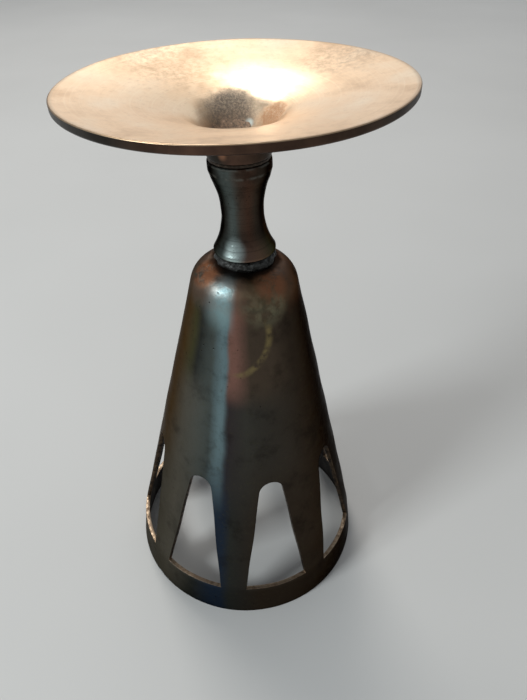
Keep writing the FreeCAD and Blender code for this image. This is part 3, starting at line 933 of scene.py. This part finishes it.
def inner_finish():
    """Smoked inside of the bell."""
    material, tree, shader = new_finish("smoked_inside")
    place = on_axis(tree, leaning=False)
    cloud = noise(tree, place, 0.12, 6, 0.6)
    smoked = ramp(tree, cloud, [(0.35, SOOT), (0.60, NEAR_BLACK), (0.78, AMBER)])
    tree.links.new(smoked, shader.inputs["Base Color"])
    shader.inputs["Metallic"].default_value = 0.6
    tree.links.new(step(tree, cloud, 0.3, 0.7, 0.78, 0.55), shader.inputs["Roughness"])
    tree.links.new(bump(tree, noise(tree, place, 1.5), 0.06), shader.inputs["Normal"])
    return material


def sawn_finish():
    """Sawn edges: the sills are lighter, partly rubbed bare and partly painted light, and the sides
    and the foot stay dark.
    """
    material, tree, shader = new_finish("filed_edge")
    place = on_axis(tree, leaning=False)
    marks = noise(tree, place, 0.8, 4, 0.6)
    # The sills, which face up, are painted lighter: partly bare metal and partly painted light.
    sill = near(tree, place, (0, 0, BAND_HEIGHT), 0.4, 0.8, (0, 0, 1))
    dark = ramp(tree, marks, [(0.35, NEAR_BLACK), (0.65, AMBER)])
    bare = ramp(tree, marks, [(0.30, FILED_DARK), (0.50, FILED_BRASS), (0.70, FILED_PALE)])
    tree.links.new(tint(tree, sill, dark, bare), shader.inputs["Base Color"])
    shader.inputs["Metallic"].default_value = 1.0
    tree.links.new(step(tree, marks, 0.3, 0.7, 0.55, 0.36), shader.inputs["Roughness"])
    tree.links.new(bump(tree, noise(tree, place, 5.0), 0.03), shader.inputs["Normal"])
    return material


for finish in (bell_finish(), inner_finish(), sawn_finish()):
    bell.data.materials.append(finish)
print("bell finishes:", len(bell.data.materials))

# %% [markdown]
# ## The stem's finish
#
# The same dark bronze as the bell, but with tool marks from the lathe running round it.
# Colours again go by angle: grey-teal at the left of the front, partly painted reflection,
# red-brown beside it and amber at the right. Near the foot the colours are lighter, partly
# tint and partly painted highlight, with a painted glint above the foot's edge. The
# flange's two edges are lighter, partly worn bare by polishing and partly painted highlight.

# %% Stem
RED_BROWN, RUST = (0.072, 0.050, 0.038), (0.080, 0.042, 0.028)
FLARE_TEAL, FLARE_PALE_HIGHLIGHT = (0.09, 0.11, 0.10), (0.19, 0.23, 0.22)
FLARE_ROSE, FLARE_TAN = (0.16, 0.105, 0.085), (0.19, 0.115, 0.075)
FOOT_PLACE, FOOT_GLEAM = (6.6, -2.6, 5.2), (0.46, 0.56, 0.54)
WORN_EDGE_AND_HIGHLIGHT = (0.17, 0.17, 0.15)


def stem_finish():
    """Turned bronze with lathe marks, pits and lighter edges, partly bare and partly painted
    highlight.
    """
    material, tree, shader = new_finish("turned_bronze")
    place = on_axis(tree, leaning=True)
    height = height_of(tree, place)
    turns = around(tree, stirred(tree, place, 0.25, 1.0))
    colour = ramp(tree, turns, [
        (0.0, AMBER), (at(-120), DARK_BROWN), (at(-66), NEAR_BLACK), (at(-46), COOL_GREY),
        (at(-31), GREY_TEAL_TINT_AND_REFLECTION), (at(-21), GREY_TEAL_TINT_AND_REFLECTION), (at(-4), RED_BROWN),
        (at(14), RUST), (at(35), DARK_BROWN), (at(55), NEAR_BLACK),
        (at(95), AMBER), (at(140), DARK_BROWN), (1.0, AMBER)])
    # Near the foot the colours are lighter: partly tint and partly painted highlight, palest where
    # the glint falls.
    foot_tint_and_highlight = ramp(tree, turns, [
        (at(-90), DARK_BROWN), (at(-48), FLARE_TEAL), (at(-22), FLARE_PALE_HIGHLIGHT),
        (at(-6), FLARE_ROSE), (at(30), FLARE_TAN), (at(60), OLIVE), (at(110), DARK_BROWN)])
    colour = tint(tree, step(tree, height, 9.5, 4.0, 0, 0.75), colour, foot_tint_and_highlight)
    # A painted glint just above the foot's edge.
    foot = near(tree, place, FOOT_PLACE, 1.2, 3.6, (1, 1, 0.8))
    colour = tint(tree, times(tree, foot, 0.8), colour, FOOT_GLEAM)
    cloud = noise(tree, place, 0.35, 5, 0.62)
    colour = tint(tree, step(tree, cloud, 0.48, 0.72, 0, 0.45), colour, NEAR_BLACK)
    lines = round_lines(tree, place, 2.0)
    colour = tint(tree, step(tree, lines, 0.52, 0.76, 0, 0.28), colour, NEAR_BLACK)
    # The flange's edges are lighter: partly worn bare and partly painted highlight.
    top_edge = near(tree, place, (0, 0, STEM_HEIGHT - 0.2), 0.15, 0.7, (0, 0, 1))
    low_edge = near(tree, place, (0, 0, FLANGE_LOW - 0.1), 0.1, 0.5, (0, 0, 1))
    edges = maths(tree, "MAXIMUM", top_edge, low_edge)
    bare = times(tree, edges, step(tree, noise(tree, place, 0.6), 0.4, 0.6))
    colour = tint(tree, times(tree, bare, 0.4), colour, WORN_EDGE_AND_HIGHLIGHT)
    pitted = times(tree, pits(tree, place, 0.9, 0.22),
                   step(tree, height, 6, 9))
    colour = tint(tree, pitted, colour, SOOT)
    tree.links.new(colour, shader.inputs["Base Color"])
    shader.inputs["Metallic"].default_value = 1.0
    shader.inputs["Specular Tint"].default_value = DARK_EDGE + (1,)
    tree.links.new(step(tree, cloud, 0.3, 0.7, 0.25, 0.38), shader.inputs["Roughness"])
    turned = bump(tree, lines, 0.022)
    grain = bump(tree, noise(tree, place, 3.0, 4, 0.6), 0.02, turned)
    tree.links.new(bump(tree, maths(tree, "SUBTRACT", 1.0, pitted), 0.12, grain),
                   shader.inputs["Normal"])
    return material


stem.data.materials.append(stem_finish())

# %% [markdown]
# ## Braze and solder
#
# Braze that has run and been left is grey, pitted and scaly, with a few bright points
# where it has been rubbed. The solder in the upper groove is dark brown with dirt.

# %% Joints
BRAZE_HOLLOW, BRAZE_GREY = (0.020, 0.019, 0.018), (0.165, 0.170, 0.165)
SOLDER_BROWN = (0.115, 0.085, 0.066)


def joint_finish(name, dark, light, scale, depth):
    """Rough filler metal: light on its high spots and dark in its hollows."""
    material, tree, shader = new_finish(name)
    place = on_axis(tree, leaning=True)
    lumps = noise(tree, place, scale, 6, 0.68)
    between = tuple((low + high) / 2.6 for low, high in zip(dark, light))
    tone = ramp(tree, lumps, [(0.36, dark), (0.55, between), (0.70, light)])
    tree.links.new(tone, shader.inputs["Base Color"])
    shader.inputs["Metallic"].default_value = 0.9
    tree.links.new(step(tree, lumps, 0.35, 0.70, 0.62, 0.34), shader.inputs["Roughness"])
    tree.links.new(bump(tree, lumps, depth), shader.inputs["Normal"])
    return material


bead.data.materials.append(joint_finish(
    "rough_braze", BRAZE_HOLLOW, BRAZE_GREY, 0.75, 0.22))
solder.data.materials.append(joint_finish(
    "dirty_solder", DARK_BROWN, SOLDER_BROWN, 1.2, 0.10))

# %% [markdown]
# ## The dish's finish
#
# The top is scoured often, so it is pale and bright, with brush marks round the axis and
# brown clouds of tarnish that scouring has not reached, and painted shade along the
# rim's edge. The underside keeps its dark bronze. Smoke has stained one side of the well
# brown, with a coppery patch beside it and a small painted glint in the stain, and the
# crust there is brown with pale grains.

# %% Dish
# Each place is (towards the front, towards +X, up), in millimetres on the stem's axis.
GOLD_PALE, GOLD, GOLD_DEEP = (0.90, 0.72, 0.52), (0.82, 0.60, 0.40), (0.60, 0.42, 0.27)
GOLD_BROWN, GOLD_STAIN, GOLD_BRUSHED = (0.45, 0.30, 0.18), (0.55, 0.37, 0.22), (0.95, 0.80, 0.60)
TARNISH, TARNISH_LEFT, TARNISH_RIGHT = (0.34, 0.22, 0.13), (-24, -18, 41), (-20, 25, 41)
RIM_PAINTED_SHADE = (0.30, 0.20, 0.12)
UNDER_DARK, UNDER_WARM = (0.017, 0.018, 0.017), (0.135, 0.070, 0.048)
HUB_GLINT, HUB_GLINT_PLACE = (0.40, 0.19, 0.11), (6.6, -3.6, 28.9)
SMOKE_STAIN, SMOKE_PLACE = (0.15, 0.122, 0.098), (-7.2, -1.6, 33.6)
WELL_WALL = (0.62, 0.42, 0.27)
COPPER_PATCH, COPPER_PLACE = (0.66, 0.35, 0.18), (-3.0, 7.6, 33.6)
PAINTED_GLINT, PAINTED_GLINT_PLACE = (0.72, 0.80, 0.76), (-6.2, 2.5, 31.6)
RESIN_DARK, RESIN_BROWN = (0.14, 0.11, 0.088), (0.32, 0.23, 0.165)
RESIN_RUST, ASH_PALE = (0.48, 0.32, 0.22), (0.78, 0.69, 0.58)


def dish_finish():
    """Scoured brass above and dark bronze below, with smoke in the well."""
    material, tree, shader = new_finish("scoured_and_smoked_brass")
    place = on_axis(tree, leaning=True)
    mark = add(tree, "Attribute", {}, attribute_name="scoured").outputs["Fac"]
    top = step(tree, mark, 0.25, 0.75)
    radius = from_axis(tree, place)

    brushed = round_lines(tree, place, 1.6)
    cloud = noise(tree, stirred(tree, place, 0.05, 8), 0.07, 6, 0.62)
    fine = noise(tree, place, 0.7, 5, 0.68)
    gold = ramp(tree, cloud, [(0.30, GOLD_PALE), (0.50, GOLD), (0.66, GOLD_DEEP),
                              (0.80, GOLD_BROWN)])
    gold = tint(tree, step(tree, fine, 0.50, 0.72, 0, 0.35), gold, GOLD_STAIN)
    gold = tint(tree, step(tree, brushed, 0.45, 0.75, 0, 0.22), gold, GOLD_BRUSHED)
    tarnish = maths(tree, "MAXIMUM", near(tree, place, TARNISH_LEFT, 6, 17),
                    near(tree, place, TARNISH_RIGHT, 5, 14))
    tarnish = times(tree, tarnish, step(tree, fine, 0.30, 0.68))
    gold = tint(tree, times(tree, tarnish, 0.5), gold, TARNISH)
    # Painted shade along the rim's outer edge, which darkens the highlight the rounded lip catches.
    rim_painted_shade = step(tree, radius, DISH_RADIUS - 1.3, DISH_RADIUS - 0.3)
    gold = tint(tree, times(tree, rim_painted_shade, 0.55), gold, RIM_PAINTED_SHADE)

    under_cloud = noise(tree, place, 0.12, 5, 0.6)
    side = around(tree, stirred(tree, place, 0.05, 3))
    warm = ramp(tree, side, [(at(-120), UNDER_DARK), (at(-35), UNDER_DARK),
                             (at(-10), UNDER_WARM), (at(70), DARK_BROWN)])
    bronze = ramp(tree, under_cloud, [(0.34, WARM_BROWN), (0.52, DARK_BROWN),
                                      (0.72, NEAR_BLACK)])
    bronze = tint(tree, step(tree, under_cloud, 0.3, 0.7, 0.8, 0.4), bronze, warm)
    glint = near(tree, place, HUB_GLINT_PLACE, 0.2, 1.5)
    bronze = tint(tree, times(tree, glint, 0.5), bronze, HUB_GLINT)
    colour = tint(tree, top, bronze, gold)

    ragged = stirred(tree, place, 0.45, 3.2)
    smoke = near(tree, ragged, SMOKE_PLACE, 3.2, 8.4, (0.92, 1, 0.45))
    grainy = step(tree, noise(tree, place, 1.9, 5, 0.7), 0.36, 0.60)
    smoke = times(tree, times(tree, smoke, top),
                  maths(tree, "ADD", times(tree, grainy, 0.30), 0.60))
    walls = times(tree, step(tree, radius, 9.6, 7.4), top)
    colour = tint(tree, times(tree, walls, 0.6), colour, WELL_WALL)
    coppery = near(tree, ragged, COPPER_PLACE, 2.6, 5.2)
    coppery = times(tree, times(tree, coppery, top),
                 maths(tree, "ADD", times(tree, grainy, 0.7), 0.25))
    colour = tint(tree, coppery, colour, COPPER_PATCH)
    colour = tint(tree, smoke, colour, SMOKE_STAIN)
    # A painted glint: a small pale spot in the smoke stain, low in the well.
    painted_glint = near(tree, place, PAINTED_GLINT_PLACE, 0.3, 1.4)
    colour = tint(tree, times(tree, painted_glint, 0.8), colour, PAINTED_GLINT)
    tree.links.new(colour, shader.inputs["Base Color"])

    dull = maths(tree, "MAXIMUM", maths(tree, "MAXIMUM", smoke, coppery),
                 times(tree, walls, 0.6))
    stain = maths(tree, "MAXIMUM", smoke, times(tree, coppery, 0.8))
    tree.links.new(step(tree, stain, 0, 1, 1.0, 0.30), shader.inputs["Metallic"])
    clean = step(tree, cloud, 0.3, 0.75, 0.30, 0.42)
    below = step(tree, under_cloud, 0.3, 0.7, 0.34, 0.46)
    metal_rough = add(tree, "Mix", {0: top, 2: below, 3: clean}).outputs[0]
    tree.links.new(add(tree, "Mix", {0: dull, 2: metal_rough, 3: 0.72}).outputs[0],
                   shader.inputs["Roughness"])
    lines = bump(tree, brushed, 0.009)
    grain = bump(tree, noise(tree, place, 2.4, 4, 0.6), 0.012, lines)
    soft = bump(tree, noise(tree, place, 0.12, 3), 0.10, grain)
    tree.links.new(bump(tree, times(tree, dull, noise(
        tree, place, 3.0, 5, 0.7)), 0.20, soft), shader.inputs["Normal"])
    return material


def crust_finish():
    """Burnt resin and ash: brown, with rusty and pale grains."""
    material, tree, shader = new_finish("burnt_resin")
    place = on_axis(tree, leaning=True)
    grains = noise(tree, place, 1.9, 6, 0.7)
    tone = ramp(tree, grains, [(0.34, RESIN_DARK), (0.48, RESIN_BROWN), (0.60, RESIN_RUST),
                               (0.72, ASH_PALE)])
    tree.links.new(tone, shader.inputs["Base Color"])
    shader.inputs["Roughness"].default_value = 0.88
    tree.links.new(bump(tree, grains, 0.25), shader.inputs["Normal"])
    return material


dish.data.materials.append(dish_finish())
crust.data.materials.append(crust_finish())

# %% [markdown]
# ## Floor, light and camera
#
# A plain pale floor and soft light. The main light is a softbox high on the left, which
# puts the streak on the shoulder and the stem. A second, behind and overhead, lights the
# scoured dish from the far side, because a shallow bowl seen from the front reflects what
# is behind it, and a wide dim panel there takes the place of a pale wall. The camera is
# close, above and in front, with the whole piece in view.

# %% Floor


def make_floor(half=4.0, columns=40):
    """A flat square grid at height 0."""
    line = np.linspace(-half, half, columns)
    across, deep = np.meshgrid(line, line)
    points = np.stack([across, deep, 0 * across], axis=-1).reshape(-1, 3)
    mesh = bpy.data.meshes.new("floor")
    faces = grid_faces(columns, columns, wrap_columns=False)
    mesh.from_pydata(points.tolist(), [], faces.tolist())
    floor = bpy.data.objects.new("floor", mesh)
    bpy.context.scene.collection.objects.link(floor)
    material, tree, shader = new_finish("pale_floor")
    place = add(tree, "TexCoord", {}).outputs["Object"]
    tone = noise(tree, place, 3.0, 3)
    tree.links.new(ramp(tree, tone, [(0.3, (0.60, 0.595, 0.58)), (0.7, (0.66, 0.655, 0.64))]),
                   shader.inputs["Base Color"])
    shader.inputs["Roughness"].default_value = 0.55
    mesh.materials.append(material)
    floor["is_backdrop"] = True
    return floor


floor = make_floor()

# %% Lights
AIM = Vector((0, 0, 0.10))


def softbox(name, direction, distance, width, power, colour):
    """A square area light that looks back at the piece from a direction."""
    light = bpy.data.lights.new(name, "AREA")
    light.shape = "SQUARE"
    light.size = width
    light.energy = power
    light.color = colour
    lamp = bpy.data.objects.new(name, light)
    bpy.context.scene.collection.objects.link(lamp)
    towards = Vector(direction).normalized()
    lamp.location = AIM + towards * distance
    lamp.rotation_euler = towards.to_track_quat("Z", "Y").to_euler()
    return lamp


softbox("left_softbox", (-0.71, -0.40, 0.56), 1.1, 0.28, 6.5, (0.92, 0.98, 1.0))
softbox("rear_softbox", (-0.22, 0.60, 0.77), 1.2, 0.40, 4.5, (1.0, 0.97, 0.92))
softbox("rear_panel", (0.10, 0.86, 0.50), 2.4, 2.2, 8.0, (1.0, 0.99, 0.97))

world = bpy.data.worlds.new("studio")
bpy.context.scene.world = world
world.use_nodes = True
world.node_tree.nodes["Background"].inputs["Color"].default_value = (0.82, 0.86, 0.90, 1)
world.node_tree.nodes["Background"].inputs["Strength"].default_value = 0.34

# %% Camera
CAMERA_PLACE = Vector((0.0013, -0.1308, 0.1831))
CAMERA_TURN = math.radians(2.27)    # towards +X
CAMERA_DIP = math.radians(39.0)     # below the horizon
CAMERA_ROLL = math.radians(0.69)

camera_data = bpy.data.cameras.new("camera")
camera_data.lens = 30.33
camera_data.clip_start = 0.005
camera = bpy.data.objects.new("camera", camera_data)
bpy.context.scene.collection.objects.link(camera)
looking = (Matrix.Rotation(-CAMERA_TURN, 4, "Z")
           @ Matrix.Rotation(math.pi / 2 - CAMERA_DIP, 4, "X")
           @ Matrix.Rotation(CAMERA_ROLL, 4, "Z"))
camera.matrix_world = Matrix.Translation(CAMERA_PLACE) @ looking
bpy.context.scene.camera = camera
bpy.context.scene.view_settings.view_transform = "Standard"

# %% [markdown]
# ## Sizes
#
# Both boxes are printed, of the imported model and of the finished one, so that the two
# can be set side by side. The finished model has to fill the imported one and never
# outgrow it.

# %% Sizes
bpy.context.view_layer.update()
looks_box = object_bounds()
for label, corners in (("packed", cad_box), ("finished", looks_box)):
    print(label, *("(%.2f %.2f %.2f)" % tuple(value / MM for value in c) for c in corners))
